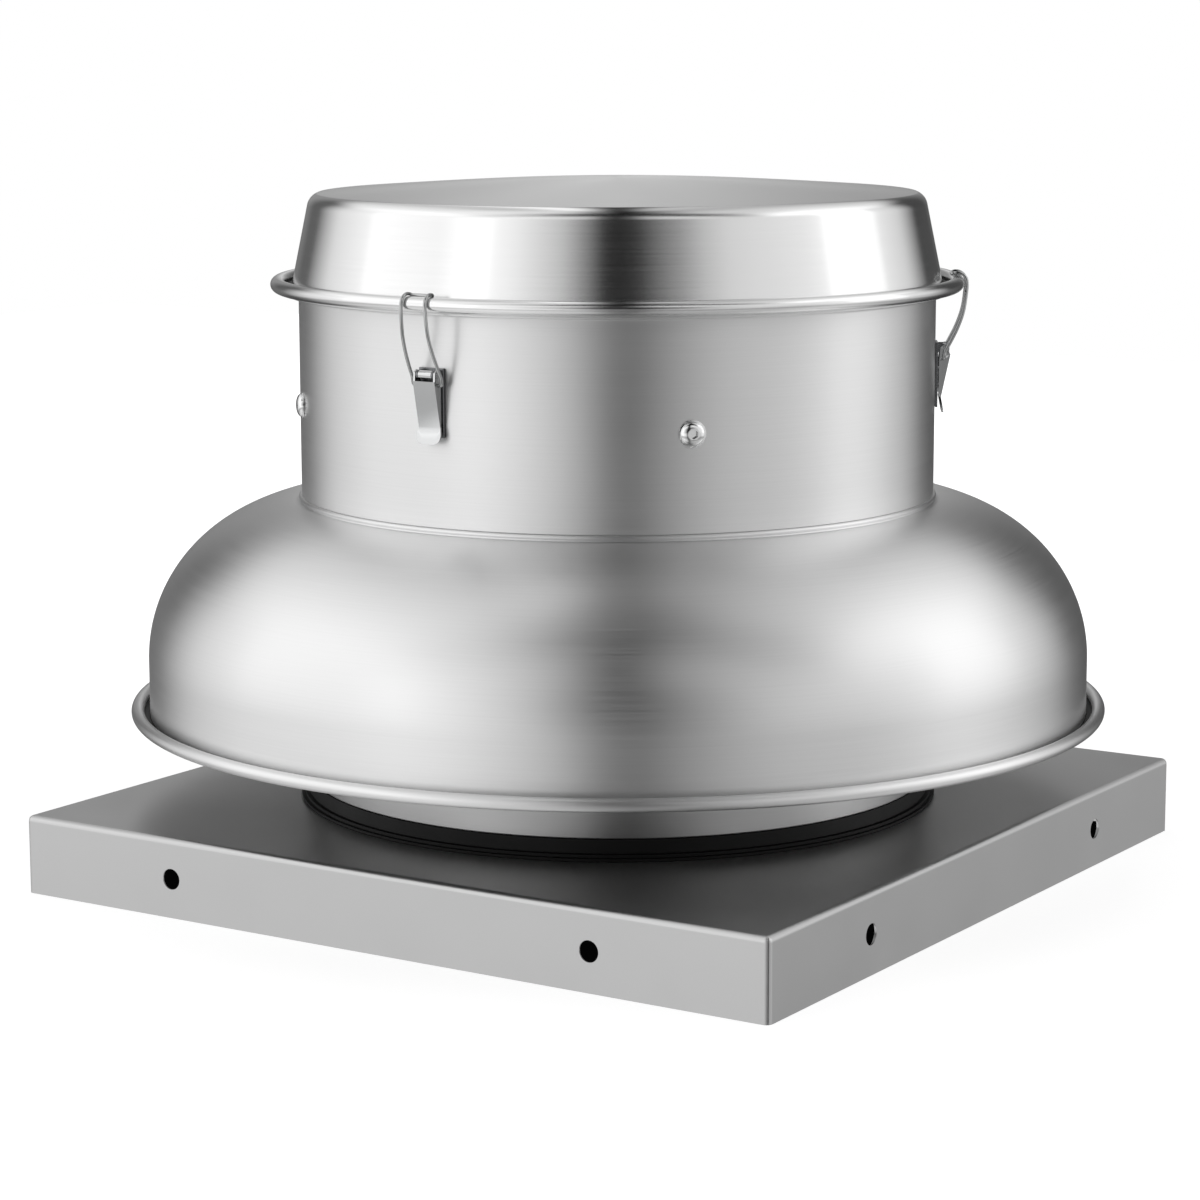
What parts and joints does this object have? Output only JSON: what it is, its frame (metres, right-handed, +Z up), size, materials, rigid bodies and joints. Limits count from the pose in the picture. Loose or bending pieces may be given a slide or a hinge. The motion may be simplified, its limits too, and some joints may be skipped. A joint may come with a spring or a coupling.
{
  "type": "roof exhaust fan",
  "caption": "Downblast roof exhaust fan: square curb cap, inlet ring with cone, spun bell, direct-drive centrifugal wheel, and a motor housing closed by a latched lid.",
  "frame": {"origin": "centre of the square curb cap at the skirt's lower edge", "axes": "+Z up along the fan's shaft, X and Y along the sides of the cap; the first latch faces -Y"},
  "size_m": [0.5016, 0.5016, 0.357],
  "materials": {
    "sheet_aluminium": "folded sheet, satin mill finish",
    "spun_aluminium": "spun and brushed round the axis",
    "wheel_aluminium": "mill finish",
    "aluminium_rivet": "satin",
    "seal_rubber": "moulded, matt",
    "zinc_steel": "zinc plated",
    "stainless": "polished stainless",
    "motor_paint": "stoved enamel",
    "bearing_steel": "ground",
    "core_steel": "lacquered laminations",
    "winding_copper": "varnished copper wire",
    "box_zinc": "galvanised sheet",
    "switch_plastic": "moulded",
    "toggle_nickel": "nickel plated",
    "capacitor_can": "drawn can",
    "cable_sheath": "extruded sheath"
  },
  "bodies": {
    "fan_body": {"curb_cap": "sheet_aluminium", "throat_seal": "seal_rubber", "inlet_ring": "spun_aluminium", "inlet_cone": "spun_aluminium", "cone_rivets": "aluminium_rivet", "support_post_1": "zinc_steel", "support_post_2": "zinc_steel", "support_post_3": "zinc_steel", "support_post_4": "zinc_steel", "post_base_bolts": "zinc_steel", "post_top_bolts": "zinc_steel", "bell": "spun_aluminium", "motor_plate": "zinc_steel", "wiring_chase": "zinc_steel", "motor_housing": "spun_aluminium", "housing_bracket_1": "zinc_steel", "housing_bracket_2": "zinc_steel", "housing_bracket_3": "zinc_steel", "housing_bracket_4": "zinc_steel", "housing_screws": "stainless", "housing_nuts": "zinc_steel", "lid": "spun_aluminium", "lid_gasket": "seal_rubber", "latch_base_1": "stainless", "latch_base_2": "stainless", "latch_base_3": "stainless", "latch_pins": "stainless", "latch_rivets": "stainless", "motor_shell": "motor_paint", "motor_top_cover": "motor_paint", "motor_foot_cover": "motor_paint", "motor_bearings": "bearing_steel", "motor_tie_bolts": "zinc_steel", "motor_isolators": "seal_rubber", "isolator_bolts": "zinc_steel", "stator_core": "core_steel", "stator_windings": "winding_copper", "junction_box": "box_zinc", "junction_box_cover": "box_zinc", "box_screws": "zinc_steel", "disconnect_switch": "switch_plastic", "capacitor": "capacitor_can", "capacitor_clamp": "zinc_steel", "motor_lead": "cable_sheath", "cable_bushes": "seal_rubber"},
    "rotor": {"motor_shaft": "bearing_steel", "rotor_core": "core_steel", "wheel_hub": "wheel_aluminium", "hub_set_screw": "bearing_steel", "wheel_backplate": "wheel_aluminium", "wheel_blades": "wheel_aluminium", "wheel_shroud": "wheel_aluminium"},
    "lever_1": {"latch_lever_1": "stainless"},
    "bail_1": {"latch_bail_1": "stainless"},
    "lever_2": {"latch_lever_2": "stainless"},
    "bail_2": {"latch_bail_2": "stainless"},
    "lever_3": {"latch_lever_3": "stainless"},
    "bail_3": {"latch_bail_3": "stainless"},
    "toggle": {"switch_toggle": "toggle_nickel"}
  },
  "joints": [
    {"name": "rotor_spin", "type": "hinge", "parent": "fan_body", "child": "rotor", "pos_m": [0, 0, 0.2], "axis": [0, 0, 1], "continuous": true},
    {"name": "lever_1_hinge", "type": "hinge", "parent": "fan_body", "child": "lever_1", "pos_m": [0, -0.1668, 0.27], "axis": [-1, 0, 0], "range_deg": [0, 90]},
    {"name": "bail_1_hinge", "type": "hinge", "parent": "lever_1", "child": "bail_1", "pos_m": [0, -0.166, 0.265], "axis": [-1, 0, 0], "range_deg": [-83, 0]},
    {"name": "lever_2_hinge", "type": "hinge", "parent": "fan_body", "child": "lever_2", "pos_m": [0.14445, 0.0834, 0.27], "axis": [0.5, -0.866, 0], "range_deg": [0, 90]},
    {"name": "bail_2_hinge", "type": "hinge", "parent": "lever_2", "child": "bail_2", "pos_m": [0.14376, 0.083, 0.265], "axis": [0.5, -0.866, 0], "range_deg": [-83, 0]},
    {"name": "lever_3_hinge", "type": "hinge", "parent": "fan_body", "child": "lever_3", "pos_m": [-0.14445, 0.0834, 0.27], "axis": [0.5, 0.866, 0], "range_deg": [0, 90]},
    {"name": "bail_3_hinge", "type": "hinge", "parent": "lever_3", "child": "bail_3", "pos_m": [-0.14376, 0.083, 0.265], "axis": [0.5, 0.866, 0], "range_deg": [-83, 0]},
    {"name": "toggle_hinge", "type": "hinge", "parent": "fan_body", "child": "toggle", "pos_m": [-0.13, 0, 0.248], "axis": [-1, 0, 0], "range_deg": [0, 28]}
  ],
  "couplings": [
    {"joint": "bail_1_hinge", "follows": "lever_1_hinge", "ratio": -0.92},
    {"joint": "bail_2_hinge", "follows": "lever_2_hinge", "ratio": -0.92},
    {"joint": "bail_3_hinge", "follows": "lever_3_hinge", "ratio": -0.92}
  ]
}
